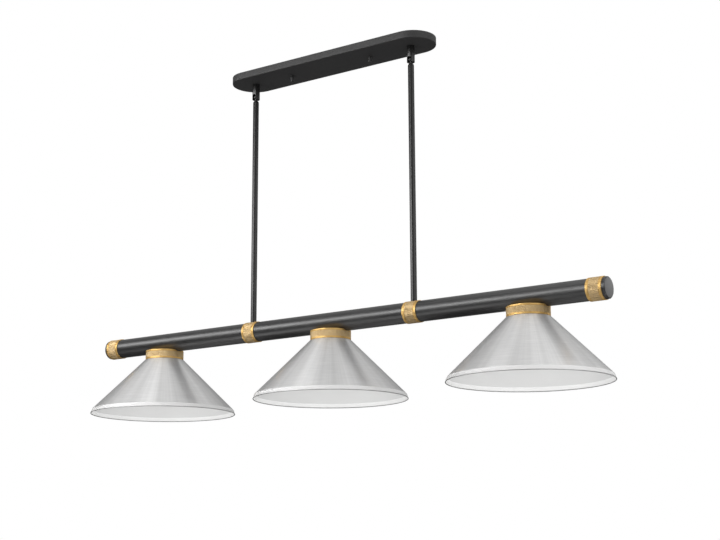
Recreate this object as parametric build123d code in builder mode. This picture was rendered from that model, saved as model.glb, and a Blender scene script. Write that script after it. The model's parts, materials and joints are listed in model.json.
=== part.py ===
from build123d import *
import os
from math import hypot, sqrt

os.makedirs("parts", exist_ok=True)

# Billiard light: a canopy on the ceiling, two swivels and rods, one long bar and three cone shades.
# Millimetres. The origin is on the ceiling at the middle of the canopy, +Z up, X along the bar.

# Driving dimensions: layout
drop = 630.0                # ceiling to the bar's axis
rod_x = 224.0               # each rod's distance from the middle
lamp_pitch = 503.0          # from one shade's axis to the next
knob_x = 113.0              # each canopy knob's distance from the middle

# Driving dimensions: canopy and what holds it to the ceiling
canopy_length = 565.0
canopy_width = 107.0
canopy_height = 17.0
canopy_wall = 1.2
canopy_edge = 1.5           # rounding of the lower edge
strap_length = 254.0
strap_width = 28.0
strap_thick = 2.0
box_screw_spacing = 88.9    # the two screws of a ceiling box
box_screw_r = 2.4
box_slot_spacing = 69.85    # slots for the smaller box
box_slot_length = 8.0
strap_eye_r = 5.2           # wire eye in the middle of the strap
ground_screw_x = 17.0
ground_screw_y = 7.0
ground_thread_r = 2.0
ground_head_r = 4.0
ground_head_height = 2.6
ground_slot_width = 1.0
ground_slot_depth = 1.1
stud_r = 2.0
stud_length = 27.0
stud_nut_flats = 7.0
stud_nut_height = 3.2
stud_hole_r = 2.5           # in the canopy
thread_slack = 0.05         # radial room on a screw thread, drawn as plain cylinders
knob_r = 5.0
knob_height = 15.0
knob_neck_r = 3.8
knob_neck_height = 2.0
knob_tip_round = 2.5
knob_gap = 0.3              # knob to canopy
knob_bore_r = 2.1
knob_bore_depth = 11.0

# Driving dimensions: swivels and rods
sleeve_r = 9.0
sleeve_length = 39.0
sleeve_round = 1.0
ball_r = 6.25
ball_slack = 0.1            # running room between ball and seat
ball_height = 7.0           # ball's centre above the sleeve's lower end
mouth_r = 5.3
neck_r = 3.9
swivel_slot_width = 9.4
swivel_slot_height = 13.0
nipple_r = 5.0              # 10 mm threaded nipples, all over the light
nipple_bore_r = 3.3
nipple_hole_r = 5.2
swivel_plug_length = 13.0
swivel_nut_height = 4.0
washer_r = 9.5
washer_thick = 1.0
nut_flats = 14.0
rod_r = 7.0
rod_bore_r = 5.05
rod_gap = 3.0               # sleeve's lower end to the rod's top
rod_top_round = 4.8
rod_plug_length = 15.0      # tapped top of the rod
rod_nipple_in_rod = 14.0
ball_bore_r = 2.3

# Driving dimensions: bar
tube_r = 23.0
tube_wall = 1.5
tube_half = 678.3           # middle to each end of the tube
seat_slack = 0.05           # room between the tube and what sits on it
ring_r = 24.5
ring_length = 34.8
ring_band = 5.0             # plain band at each edge of a ring
ring_groove_width = 1.0
ring_groove_depth = 0.5
ring_edge = 0.5
cap_length = 7.5
cap_chamfer = 1.8
cap_groove_width = 0.8
cap_groove_depth = 0.5
cap_groove_place = 3.4      # from the tube's end
plug_length = 14.0
plug_slack = 0.1

# Driving dimensions: lamps, heights counted down from the bar's axis
collar_r = 46.1
collar_top = 19.5
collar_foot = 41.2
collar_wall = 3.0
collar_roof = 6.0
collar_band = 3.0
collar_groove_width = 0.8
collar_groove_depth = 0.5
collar_edge = 0.5
shade_r = 174.6
shade_rim = 174.6           # bar's axis to the rim
shade_top_r = 46.6
shade_top_round = 2.4
shade_wall = 1.0
lip_height = 10.0
lip_flare = 3.2             # how far the lip leans out
rim_bead_r = 0.9            # the sheet's edge is rolled into a thin bead
shade_nut_height = 4.0
socket_r = 20.0
socket_top = 50.0
socket_mouth = 104.0
socket_shoulder_r = 12.0
socket_shoulder = 10.0
socket_floor = 70.0         # inner end of the lamp's hole
socket_bore_r = 14.3
shell_r = 13.2              # inside of the screw shell, for a 26 mm lamp base
shell_wall = 0.9
shell_mouth = 102.5
shell_eye_r = 6.5
contact_r = 4.0
contact_thick = 0.8         # level with the shell's floor, so that a lamp base can seat
nipple_foot = 58.0
saddle_washer_r = 9.5
saddle_washer_flat = 17.5   # flat side, measured from the bar's axis
lamp_nut_height = 4.5
nipple_top = 11.0

# Driving dimensions: wiring inside the bar
lead_r = 2.2
lead_bend_r = 9.0
lead_run_high = 4.0
lead_run_low = -4.0
lead_spread = 9.0           # sideways place of the right lamp's lead in the splice
splice_x = -190.0           # left face of the splice
splice_length = 30.0
splice_width = 24.0
splice_height = 15.0
splice_round = 2.0
splice_gap = 0.1            # leads that meet the splice at a slant stop this far from it
riser_top_gap = 4.0

# Heights in the light's frame
canopy_under = -canopy_height
sleeve_foot = canopy_under - sleeve_length
ball_z = sleeve_foot + ball_height
rod_top = sleeve_foot - rod_gap
axis_z = -drop
tube_bore_r = tube_r - tube_wall
seat_r = tube_r + seat_slack
cavity_r = ball_r + ball_slack

sides = {"left": -1, "right": 1}
lamps = {"left": -lamp_pitch, "middle": 0.0, "right": lamp_pitch}
bar_axis = Axis((0, 0, axis_z), (1, 0, 0))


def keep(piece, name):
    """Label a finished piece and write it to its own file."""
    piece.label = name
    export_step(piece, f"parts/{name}.step")


def upright(x, z=0.0):
    """Plane through a vertical axis at x: first axis outwards along +X, second axis up."""
    return Plane((x, 0, z), (1, 0, 0), (0, -1, 0))


def level(x, z, y=0.0):
    """Level plane at a place, facing up."""
    return Plane((x, y, z), (1, 0, 0), (0, 0, 1))


def vertical(x):
    """Vertical axis at x."""
    return Axis((x, 0, 0), (0, 0, 1))


# Canopy: a flat pan with round ends, open towards the ceiling
with BuildPart() as canopy_pan:
    with BuildSketch(Plane.XY.offset(canopy_under)):
        SlotOverall(canopy_length, canopy_width)
    extrude(amount=canopy_height)
    fillet(canopy_pan.edges().group_by(Axis.Z)[0], canopy_edge)
    with BuildSketch(Plane.XY.offset(canopy_under + canopy_wall)):
        SlotOverall(canopy_length - 2 * canopy_wall, canopy_width - 2 * canopy_wall)
    extrude(amount=canopy_height, mode=Mode.SUBTRACT)
    with BuildSketch(Plane.XY.offset(canopy_under)):
        with Locations((-rod_x, 0), (rod_x, 0)):
            Circle(nipple_hole_r)
        with Locations((-knob_x, 0), (knob_x, 0)):
            Circle(stud_hole_r)
    extrude(amount=canopy_wall, mode=Mode.SUBTRACT)
keep(canopy_pan.part, "canopy_pan")

# Ceiling strap: screwed to the ceiling box, it carries the canopy on two studs
with BuildPart() as ceiling_strap:
    with BuildSketch(Plane.XY.offset(-strap_thick)):
        SlotOverall(strap_length, strap_width)
        Circle(strap_eye_r, mode=Mode.SUBTRACT)
        with Locations((-box_screw_spacing / 2, 0), (box_screw_spacing / 2, 0)):
            Circle(box_screw_r, mode=Mode.SUBTRACT)
        with Locations((-box_slot_spacing / 2, 0), (box_slot_spacing / 2, 0)):
            SlotOverall(box_slot_length, 2 * box_screw_r, mode=Mode.SUBTRACT)
        with Locations((-knob_x, 0), (knob_x, 0)):
            Circle(stud_r + thread_slack, mode=Mode.SUBTRACT)
        with Locations((ground_screw_x, ground_screw_y)):
            Circle(ground_thread_r + thread_slack, mode=Mode.SUBTRACT)
    extrude(amount=strap_thick)
keep(ceiling_strap.part, "ceiling_strap")

# Ground screw: its head is below the strap, where the bare wire goes under it
with BuildPart() as ground_screw:
    with BuildSketch(level(ground_screw_x, -strap_thick, ground_screw_y)):
        Circle(ground_head_r)
    extrude(amount=-ground_head_height)
    fillet(ground_screw.edges().group_by(Axis.Z)[0], ground_slot_depth / 2)
    with BuildSketch(level(ground_screw_x, -strap_thick - ground_head_height, ground_screw_y)):
        Rectangle(3 * ground_head_r, ground_slot_width)
    extrude(amount=ground_slot_depth, mode=Mode.SUBTRACT)
    with BuildSketch(level(ground_screw_x, -strap_thick, ground_screw_y)):
        Circle(ground_thread_r)
    extrude(amount=strap_thick)
keep(ground_screw.part, "ground_screw")

# Two studs in the strap, each locked by a thin nut
with BuildPart() as strap_studs:
    with BuildSketch(Plane.XY):
        with Locations((-knob_x, 0), (knob_x, 0)):
            Circle(stud_r)
    extrude(amount=-stud_length)
keep(strap_studs.part, "strap_studs")

with BuildPart() as stud_nuts:
    with BuildSketch(Plane.XY.offset(-strap_thick)):
        with Locations((-knob_x, 0), (knob_x, 0)):
            RegularPolygon(stud_nut_flats / 2, 6, major_radius=False)
            Circle(stud_r + thread_slack, mode=Mode.SUBTRACT)
    extrude(amount=-stud_nut_height)
keep(stud_nuts.part, "stud_nuts")

# Canopy knobs: small round nuts under the canopy, turned by hand
for side, sign in sides.items():
    knob_top = canopy_under - knob_gap
    with BuildPart() as canopy_knob:
        with BuildSketch(level(sign * knob_x, knob_top)):
            Circle(knob_neck_r)
        extrude(amount=-knob_neck_height)
        with BuildSketch(level(sign * knob_x, knob_top - knob_neck_height)):
            Circle(knob_r)
        extrude(amount=knob_neck_height - knob_height)
        fillet(canopy_knob.edges().group_by(Axis.Z)[0], knob_tip_round)
        with BuildSketch(level(sign * knob_x, knob_top)):
            Circle(knob_bore_r)
        extrude(amount=-knob_bore_depth, mode=Mode.SUBTRACT)
    keep(canopy_knob.part, f"canopy_knob_{side}")

# Swivel sleeves: a ball seat at the foot, and a slot at the front for the neck to swing into
for side, sign in sides.items():
    seat_drop = sqrt(cavity_r**2 - mouth_r**2)
    with BuildPart() as swivel_sleeve:
        with BuildSketch(upright(sign * rod_x)):
            with BuildLine():
                Polyline(
                    (cavity_r, ball_z),
                    (cavity_r, canopy_under),
                    (sleeve_r, canopy_under),
                    (sleeve_r, sleeve_foot),
                    (mouth_r, sleeve_foot),
                    (mouth_r, ball_z - seat_drop),
                )
                RadiusArc((mouth_r, ball_z - seat_drop), (cavity_r, ball_z), -cavity_r)
            make_face()
        revolve(axis=vertical(sign * rod_x))
        fillet(swivel_sleeve.edges().group_by(Axis.Z)[0].sort_by(SortBy.RADIUS)[-1], sleeve_round)
        with BuildSketch(upright(sign * rod_x, sleeve_foot)):
            with Locations((0, (swivel_slot_height - swivel_slot_width / 2) / 2)):
                Rectangle(swivel_slot_width, swivel_slot_height - swivel_slot_width / 2)
            with Locations((0, swivel_slot_height - swivel_slot_width / 2)):
                Circle(swivel_slot_width / 2)
        extrude(amount=2 * sleeve_r, mode=Mode.SUBTRACT)
    keep(swivel_sleeve.part, f"swivel_sleeve_{side}")

# Swivel nipples: screwed into the sleeves from above, and held in the canopy by washers and nuts
washer_foot = canopy_under + canopy_wall
nut_foot = washer_foot + washer_thick
nipple_head = nut_foot + swivel_nut_height + washer_thick
rod_places = [(-rod_x, 0), (rod_x, 0)]
with BuildPart() as swivel_nipples:
    with BuildSketch(Plane.XY.offset(canopy_under)):
        with Locations(*rod_places):
            Circle(cavity_r - thread_slack)
    extrude(amount=-swivel_plug_length)
    with BuildSketch(Plane.XY.offset(canopy_under)):
        with Locations(*rod_places):
            Circle(nipple_r)
    extrude(amount=nipple_head - canopy_under)
    with BuildSketch(Plane.XY.offset(nipple_head)):
        with Locations(*rod_places):
            Circle(nipple_bore_r)
    extrude(amount=-canopy_height - swivel_plug_length, mode=Mode.SUBTRACT)
keep(swivel_nipples.part, "swivel_nipples")

with BuildPart() as swivel_washers:
    with BuildSketch(Plane.XY.offset(washer_foot)):
        with Locations(*rod_places):
            Circle(washer_r)
            Circle(nipple_r + thread_slack, mode=Mode.SUBTRACT)
    extrude(amount=washer_thick)
keep(swivel_washers.part, "swivel_washers")

with BuildPart() as swivel_nuts:
    with BuildSketch(Plane.XY.offset(nut_foot)):
        with Locations(*rod_places):
            RegularPolygon(nut_flats / 2, 6, major_radius=False)
            Circle(nipple_r + thread_slack, mode=Mode.SUBTRACT)
    extrude(amount=swivel_nut_height)
keep(swivel_nuts.part, "swivel_nuts")

# Swivel balls: a ball, its neck and the stem that screws into the rod, bored for the wires
for side, sign in sides.items():
    neck_drop = sqrt(ball_r**2 - neck_r**2)
    bore_rise = sqrt(ball_r**2 - ball_bore_r**2)
    stem_foot = rod_top - rod_plug_length
    with BuildPart() as swivel_ball:
        with BuildSketch(upright(sign * rod_x)):
            with BuildLine():
                RadiusArc((neck_r, ball_z - neck_drop), (ball_r, ball_z), -ball_r)
                RadiusArc((ball_r, ball_z), (ball_bore_r, ball_z + bore_rise), -ball_r)
                Polyline(
                    (ball_bore_r, ball_z + bore_rise),
                    (ball_bore_r, stem_foot),
                    (neck_r, stem_foot),
                    (neck_r, ball_z - neck_drop),
                )
            make_face()
        revolve(axis=vertical(sign * rod_x))
    keep(swivel_ball.part, f"swivel_ball_{side}")

# Rods: tubes with a rounded, tapped top, coped at the foot to sit on the bar
rod_foot = axis_z + sqrt(tube_r**2 - rod_r**2)
for side, sign in sides.items():
    with BuildPart() as downrod:
        with BuildSketch(level(sign * rod_x, rod_foot)):
            Circle(rod_r)
        extrude(amount=rod_top - rod_foot)
        fillet(downrod.edges().group_by(Axis.Z)[-1], rod_top_round)
        with BuildSketch(level(sign * rod_x, rod_top)):
            Circle(neck_r + thread_slack)
        extrude(amount=rod_foot - rod_top, mode=Mode.SUBTRACT)
        with BuildSketch(level(sign * rod_x, rod_top - rod_plug_length)):
            Circle(rod_bore_r)
        extrude(amount=rod_foot - rod_top + rod_plug_length, mode=Mode.SUBTRACT)
        with BuildSketch(Plane((sign * rod_x - tube_r, 0, axis_z), (0, 1, 0), (1, 0, 0))):
            Circle(seat_r)
        extrude(amount=2 * tube_r, mode=Mode.SUBTRACT)
    keep(downrod.part, f"downrod_{side}")

# Rod fixings: nipple, saddle washer and nut hold each rod to the bar from inside
rod_nipple_head = axis_z + tube_r + rod_nipple_in_rod
rod_nipple_foot = axis_z + nipple_top
with BuildPart() as rod_nipples:
    with BuildSketch(Plane.XY.offset(rod_nipple_foot)):
        with Locations(*rod_places):
            Circle(nipple_r)
            Circle(nipple_bore_r, mode=Mode.SUBTRACT)
    extrude(amount=rod_nipple_head - rod_nipple_foot)
keep(rod_nipples.part, "rod_nipples")

with BuildPart() as rod_saddle_washers:
    with BuildSketch(Plane.XY.offset(axis_z + saddle_washer_flat)):
        with Locations(*rod_places):
            Circle(saddle_washer_r)
            Circle(nipple_r + thread_slack, mode=Mode.SUBTRACT)
    extrude(amount=tube_r - saddle_washer_flat)
    with BuildSketch(Plane((-2 * rod_x, 0, axis_z), (0, 1, 0), (1, 0, 0))):
        Circle(tube_bore_r - seat_slack)
    extrude(amount=4 * rod_x, mode=Mode.INTERSECT)
keep(rod_saddle_washers.part, "rod_saddle_washers")

with BuildPart() as rod_nuts:
    with BuildSketch(Plane.XY.offset(axis_z + saddle_washer_flat)):
        with Locations(*rod_places):
            RegularPolygon(nut_flats / 2, 6, major_radius=False)
            Circle(nipple_r + thread_slack, mode=Mode.SUBTRACT)
    extrude(amount=-lamp_nut_height)
keep(rod_nuts.part, "rod_nuts")

# Bar: one black tube with holes for two rods above and three lamps below
lamp_places = [(x, 0) for x in lamps.values()]
with BuildPart() as bar_tube:
    with BuildSketch(Plane((-tube_half, 0, axis_z), (0, 1, 0), (1, 0, 0))):
        Circle(tube_r)
        Circle(tube_bore_r, mode=Mode.SUBTRACT)
    extrude(amount=2 * tube_half)
    with BuildSketch(Plane.XY.offset(axis_z)):
        with Locations(*rod_places):
            Circle(nipple_hole_r)
    extrude(amount=2 * tube_r, mode=Mode.SUBTRACT)
    with BuildSketch(Plane.XY.offset(axis_z)):
        with Locations(*lamp_places):
            Circle(nipple_hole_r)
    extrude(amount=-2 * tube_r, mode=Mode.SUBTRACT)
keep(bar_tube.part, "bar_tube")

# Rings on the bar: a wide middle band for the knurl between two plain edge bands
ring_places = {
    "ring_left_end": -tube_half + ring_length / 2,
    "ring_left_rod": -rod_x,
    "ring_right_rod": rod_x,
    "ring_right_end": tube_half - ring_length / 2,
}
groove_place = ring_length / 2 - ring_band - ring_groove_width / 2
for name, middle in ring_places.items():
    with BuildPart() as ring:
        with BuildSketch(upright(middle, axis_z)):
            with Locations((0, (ring_r + seat_r) / 2)):
                Rectangle(ring_length, ring_r - seat_r)
            chamfer(vertices().group_by(Axis.Y)[-1], ring_edge)
            with Locations((-groove_place, ring_r), (groove_place, ring_r)):
                Rectangle(ring_groove_width, 2 * ring_groove_depth, mode=Mode.SUBTRACT)
        revolve(axis=bar_axis)
        if "rod" in name:
            with BuildSketch(level(middle, axis_z)):
                Circle(rod_r + seat_slack)
            extrude(amount=2 * ring_r, mode=Mode.SUBTRACT)
    keep(ring.part, name)

# End caps: a grooved disc with a chamfered face, and a plug inside the tube
for side, sign in sides.items():
    tube_end = sign * tube_half
    groove_near = tube_end + sign * cap_groove_place
    groove_far = groove_near + sign * cap_groove_width
    face = tube_end + sign * cap_length
    plug_end = tube_end - sign * plug_length
    plug_r = tube_bore_r - plug_slack
    with BuildPart() as end_cap:
        with BuildSketch(upright(0, axis_z)):
            with BuildLine():
                Polyline(
                    (plug_end, 0),
                    (plug_end, plug_r),
                    (tube_end, plug_r),
                    (tube_end, tube_r),
                    (groove_near, tube_r),
                    (groove_near, tube_r - cap_groove_depth),
                    (groove_far, tube_r - cap_groove_depth),
                    (groove_far, tube_r),
                    (face - sign * cap_chamfer, tube_r),
                    (face, tube_r - cap_chamfer),
                    (face, 0),
                    close=True,
                )
            make_face()
        revolve(axis=bar_axis)
    keep(end_cap.part, f"end_cap_{side}")

# Lamps: collar, shade, socket, screw shell and contact, the same three times along the bar
cone_foot_r = shade_r - lip_flare
cone_foot = shade_rim - lip_height
cone_run = hypot(cone_foot_r - shade_top_r, cone_foot - collar_foot)
cone_dr = (cone_foot_r - shade_top_r) / cone_run
cone_dz = (cone_foot - collar_foot) / cone_run
inner_top = collar_foot + shade_wall
inner_shift = shade_wall / cone_dz          # level distance from the cone's outside to its inside
inner_top_r = shade_top_r + shade_wall * cone_dr / cone_dz - inner_shift
shade_nut_head = inner_top + washer_thick
bead_middle_r = shade_r - rim_bead_r
bead_middle = shade_rim - rim_bead_r

for lamp, x in lamps.items():
    with BuildPart() as collar:
        with BuildSketch(upright(x, axis_z)):
            with BuildLine():
                Polyline(
                    (nipple_hole_r, -collar_top),
                    (collar_r, -collar_top),
                    (collar_r, -collar_foot),
                    (collar_r - collar_wall, -collar_foot),
                    (collar_r - collar_wall, -collar_top - collar_roof),
                    (nipple_hole_r, -collar_top - collar_roof),
                    close=True,
                )
            make_face()
            chamfer(vertices().group_by(Axis.X)[-1], collar_edge)
            with Locations(
                (collar_r, -collar_top - collar_band - collar_groove_width / 2),
                (collar_r, -collar_foot + collar_band + collar_groove_width / 2),
            ):
                Rectangle(2 * collar_groove_depth, collar_groove_width, mode=Mode.SUBTRACT)
        revolve(axis=vertical(x))
        with BuildSketch(Plane((x - 2 * collar_r, 0, axis_z), (0, 1, 0), (1, 0, 0))):
            Circle(seat_r)
        extrude(amount=4 * collar_r, mode=Mode.SUBTRACT)
    keep(collar.part, f"collar_{lamp}")

    with BuildPart() as shade:
        with BuildSketch(upright(x, axis_z)):
            with BuildLine():
                Polyline(
                    (nipple_hole_r, -collar_foot),
                    (shade_top_r, -collar_foot),
                    (cone_foot_r, -cone_foot),
                    (bead_middle_r + shade_wall / 2, -bead_middle),
                    (bead_middle_r - shade_wall / 2, -bead_middle),
                    (cone_foot_r - shade_wall, -cone_foot - shade_wall * cone_dz / 2),
                    (inner_top_r, -inner_top),
                    (nipple_hole_r, -inner_top),
                    close=True,
                )
            make_face()
            top_corner = vertices().sort_by_distance((shade_top_r, -collar_foot, 0))[0]
            fillet(top_corner, shade_top_round)
            with Locations((bead_middle_r, -bead_middle)):
                Circle(rim_bead_r)
        revolve(axis=vertical(x))
    keep(shade.part, f"shade_{lamp}")

    with BuildPart() as socket_body:
        with BuildSketch(upright(x, axis_z)):
            with BuildLine():
                Polyline(
                    (nipple_r + thread_slack, -socket_top),
                    (socket_shoulder_r, -socket_top),
                    (socket_shoulder_r, -socket_top - socket_shoulder / 2),
                    (socket_r, -socket_top - socket_shoulder),
                    (socket_r, -socket_mouth),
                    (socket_bore_r, -socket_mouth),
                    (socket_bore_r, -socket_floor),
                    (0, -socket_floor),
                    (0, -nipple_foot - washer_thick),
                    (nipple_r + thread_slack, -nipple_foot - washer_thick),
                    close=True,
                )
            make_face()
        revolve(axis=vertical(x))
        fillet(socket_body.edges().group_by(Axis.Z)[0], washer_thick)
    keep(socket_body.part, f"socket_body_{lamp}")

    with BuildPart() as screw_shell:
        with BuildSketch(upright(x, axis_z)):
            with BuildLine():
                Polyline(
                    (shell_eye_r, -socket_floor),
                    (shell_r + shell_wall, -socket_floor),
                    (shell_r + shell_wall, -shell_mouth),
                    (shell_r, -shell_mouth),
                    (shell_r, -socket_floor - shell_wall),
                    (shell_eye_r, -socket_floor - shell_wall),
                    close=True,
                )
            make_face()
        revolve(axis=vertical(x))
    keep(screw_shell.part, f"screw_shell_{lamp}")

    with BuildPart() as centre_contact:
        with BuildSketch(level(x, axis_z - socket_floor)):
            Circle(contact_r)
        extrude(amount=-contact_thick)
        fillet(centre_contact.edges().group_by(Axis.Z)[0], contact_thick / 2)
    keep(centre_contact.part, f"centre_contact_{lamp}")

# Lamp fixings: one nipple each runs from the bar through collar and shade into the socket
with BuildPart() as lamp_nipples:
    with BuildSketch(Plane.XY.offset(axis_z - nipple_foot)):
        with Locations(*lamp_places):
            Circle(nipple_r)
            Circle(nipple_bore_r, mode=Mode.SUBTRACT)
    extrude(amount=nipple_foot - nipple_top)
keep(lamp_nipples.part, "lamp_nipples")

with BuildPart() as lamp_saddle_washers:
    with BuildSketch(Plane.XY.offset(axis_z - saddle_washer_flat)):
        with Locations(*lamp_places):
            Circle(saddle_washer_r)
            Circle(nipple_r + thread_slack, mode=Mode.SUBTRACT)
    extrude(amount=saddle_washer_flat - tube_r)
    with BuildSketch(Plane((-2 * lamp_pitch, 0, axis_z), (0, 1, 0), (1, 0, 0))):
        Circle(tube_bore_r - seat_slack)
    extrude(amount=4 * lamp_pitch, mode=Mode.INTERSECT)
keep(lamp_saddle_washers.part, "lamp_saddle_washers")

with BuildPart() as lamp_nuts:
    with BuildSketch(Plane.XY.offset(axis_z - saddle_washer_flat)):
        with Locations(*lamp_places):
            RegularPolygon(nut_flats / 2, 6, major_radius=False)
            Circle(nipple_r + thread_slack, mode=Mode.SUBTRACT)
    extrude(amount=lamp_nut_height)
keep(lamp_nuts.part, "lamp_nuts")

with BuildPart() as shade_washers:
    with BuildSketch(Plane.XY.offset(axis_z - inner_top)):
        with Locations(*lamp_places):
            Circle(washer_r)
            Circle(nipple_r + thread_slack, mode=Mode.SUBTRACT)
    extrude(amount=-washer_thick)
keep(shade_washers.part, "shade_washers")

with BuildPart() as shade_nuts:
    with BuildSketch(Plane.XY.offset(axis_z - shade_nut_head)):
        with Locations(*lamp_places):
            RegularPolygon(nut_flats / 2, 6, major_radius=False)
            Circle(nipple_r + thread_slack, mode=Mode.SUBTRACT)
    extrude(amount=-shade_nut_height)
keep(shade_nuts.part, "shade_nuts")

# Wiring: a lead rises from each socket through its nipple and runs along the bar to a splice.
# A riser goes on from the splice up the left rod.
lead_foot = axis_z - nipple_foot
splice_far = splice_x + splice_length + splice_gap
lead_routes = {
    "lamp_lead_left": [
        (-lamp_pitch, 0, lead_foot),
        (-lamp_pitch, 0, axis_z + lead_run_low),
        (splice_x, 0, axis_z + lead_run_low),
    ],
    "lamp_lead_middle": [
        (0, 0, lead_foot),
        (0, 0, axis_z),
        (splice_far, lead_run_low, axis_z),
    ],
    "lamp_lead_right": [
        (lamp_pitch, 0, lead_foot),
        (lamp_pitch, 0, axis_z),
        (splice_far, lead_spread, axis_z),
    ],
    "riser_lead": [
        (-rod_x, 0, rod_top - rod_plug_length - riser_top_gap),
        (-rod_x, 0, axis_z + lead_run_high),
        (splice_x, 0, axis_z + lead_run_high),
    ],
}
for name, route in lead_routes.items():
    start = Vector(*route[0])
    heading = Vector(*route[1]) - start
    with BuildPart() as lead:
        with BuildLine() as lead_path:
            FilletPolyline(*route, radius=lead_bend_r)
        with BuildSketch(Plane(start, (1, 0, 0), heading.normalized())):
            Circle(lead_r)
        sweep(path=lead_path.wire())
    keep(lead.part, name)

with BuildPart() as splice_block:
    with BuildSketch(Plane((splice_x, lead_spread / 4, axis_z), (0, 1, 0), (1, 0, 0))):
        RectangleRounded(splice_width, splice_height, splice_round)
    extrude(amount=splice_length)
keep(splice_block.part, "splice_block")

print("cone rise over run:", round(cone_dz / cone_dr, 3))
print("overall height:", drop + shade_rim, "bar length:", 2 * (tube_half + cap_length))
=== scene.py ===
# %% [markdown]
# A billiard light: three spun cone shades in a row under one black bar. The bar hangs on two rods
# from a flat canopy on the ceiling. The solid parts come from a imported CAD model, which is loaded
# first and stays where it is. This lesson models the visible metalwork again with soft edges and a
# real knurl, makes a finish for each surface, and then sets up the light and the camera.

# %% Load the frame
import json
import math

import bpy
from mathutils import Matrix, Vector


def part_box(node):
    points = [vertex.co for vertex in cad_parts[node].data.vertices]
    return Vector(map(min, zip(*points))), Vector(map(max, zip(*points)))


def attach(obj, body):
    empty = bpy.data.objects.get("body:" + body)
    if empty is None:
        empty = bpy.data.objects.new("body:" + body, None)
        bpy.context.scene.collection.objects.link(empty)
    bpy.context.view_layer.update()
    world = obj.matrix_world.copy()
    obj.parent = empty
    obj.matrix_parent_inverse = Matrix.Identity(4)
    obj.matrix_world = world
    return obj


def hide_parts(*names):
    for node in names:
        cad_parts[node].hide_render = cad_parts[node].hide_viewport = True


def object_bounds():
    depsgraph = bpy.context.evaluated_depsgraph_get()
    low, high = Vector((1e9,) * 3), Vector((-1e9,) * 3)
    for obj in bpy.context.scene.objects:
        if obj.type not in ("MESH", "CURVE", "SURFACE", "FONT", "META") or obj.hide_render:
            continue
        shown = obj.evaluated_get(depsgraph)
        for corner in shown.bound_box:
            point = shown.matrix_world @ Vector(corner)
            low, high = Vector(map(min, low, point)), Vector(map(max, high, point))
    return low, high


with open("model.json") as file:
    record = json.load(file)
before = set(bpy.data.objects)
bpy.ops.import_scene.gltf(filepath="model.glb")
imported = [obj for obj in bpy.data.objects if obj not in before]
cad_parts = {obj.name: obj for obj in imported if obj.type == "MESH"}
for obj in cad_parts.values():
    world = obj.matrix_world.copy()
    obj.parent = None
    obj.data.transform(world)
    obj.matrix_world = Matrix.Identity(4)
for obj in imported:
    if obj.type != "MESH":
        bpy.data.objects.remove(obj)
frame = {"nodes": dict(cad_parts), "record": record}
cad_box = [list(corner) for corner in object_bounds()]
MM = 0.001
UP = Vector((0, 0, 1))
ALONG = Vector((1, 0, 0))
print("CAD box from", cad_box[0], "to", cad_box[1])

# %% [markdown]
# Every place in this scene is read from the frame, so a piece always sits where its solid part is.
# The box of a node gives its middle and its radius. Only small details, such as the width of a
# groove, are written here as numbers, in millimetres.

# %% Read places and sizes from the frame
def middle(node):
    """The middle of a node's box."""
    low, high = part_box(node)
    return (low + high) / 2


def size(node):
    """A node's size along X, Y and Z in millimetres."""
    low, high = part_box(node)
    return (high - low) / MM


bar_middle = middle("bar_tube")
tube_radius = size("bar_tube").z / 2
tube_half = size("bar_tube").x / 2
lamp_pitch = middle("collar_right").x - middle("collar_middle").x
lamp_shift = {"left": ALONG * -lamp_pitch, "right": ALONG * lamp_pitch}


def heights(node):
    """The foot and the top of a node above the bar's axis, in millimetres."""
    low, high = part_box(node)
    return (low.z - bar_middle.z) / MM, (high.z - bar_middle.z) / MM


print("bar axis at", bar_middle.z, "m, tube radius", tube_radius, "mm, lamp pitch", lamp_pitch, "m")

# %% [markdown]
# Many operators work on what is selected. These helpers select vertices, edges or faces by a rule, so
# that the next operator knows where to work.

# %% Helpers for selecting
def pick_nothing(mesh, vertices=False, edges=False, faces=False):
    """Clears the selection, and sets what the next one is made of."""
    bpy.context.tool_settings.mesh_select_mode = (vertices, edges, faces)
    for elements in (mesh.vertices, mesh.edges, mesh.polygons):
        elements.foreach_set("select", [False] * len(elements))


def pick_vertices(piece, wanted):
    """Selects the vertices whose numbers are wanted, and nothing else."""
    mesh = piece.data
    pick_nothing(mesh, vertices=True)
    mesh.vertices.foreach_set("select", [v.index in wanted for v in mesh.vertices])


def pick_edges(piece, wanted):
    """Selects the edges for which wanted(first end, second end) is true."""
    mesh = piece.data
    pick_nothing(mesh, edges=True)
    for edge in mesh.edges:
        first, second = (mesh.vertices[number].co for number in edge.vertices)
        edge.select = wanted(first, second)


def pick_faces(piece, wanted):
    """Selects the faces for which wanted(face) is true."""
    mesh = piece.data
    pick_nothing(mesh, faces=True)
    mesh.polygons.foreach_set("select", [bool(wanted(face)) for face in mesh.polygons])


# %% [markdown]
# Most of this light is made on a lathe: shades, rings, collars, rods, caps and knobs. In Blender the
# same job is a half section that spins round its axis. The section is drawn as by hand. One vertex
# is placed, and each extrude draws the line on to the next corner. A vertex bevel rounds a corner.

# %% Helpers for turned pieces
SPIN = 2 * math.pi
WELD = 0.001 * MM
ROUND_SEGMENTS = 4


def evenly(start, end, steps):
    """Values from start to end in even steps, with both ends."""
    return [start + (end - start) * number / steps for number in range(steps + 1)]


def draw_section(name, points):
    """Draws a line from point to point: one vertex first, then an extrude for each step."""
    bpy.context.tool_settings.mesh_select_mode = (True, False, False)
    bpy.ops.mesh.primitive_plane_add(size=MM)
    piece = bpy.context.object
    piece.name = name
    piece.data.name = name
    bpy.ops.object.mode_set(mode="EDIT")
    bpy.ops.mesh.merge(type="CENTER")
    bpy.ops.transform.translate(value=points[0])
    for here, there in zip(points, points[1:]):
        bpy.ops.mesh.extrude_region_move(TRANSFORM_OT_translate={"value": there - here})
    bpy.ops.object.mode_set(mode="OBJECT")
    return piece


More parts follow.
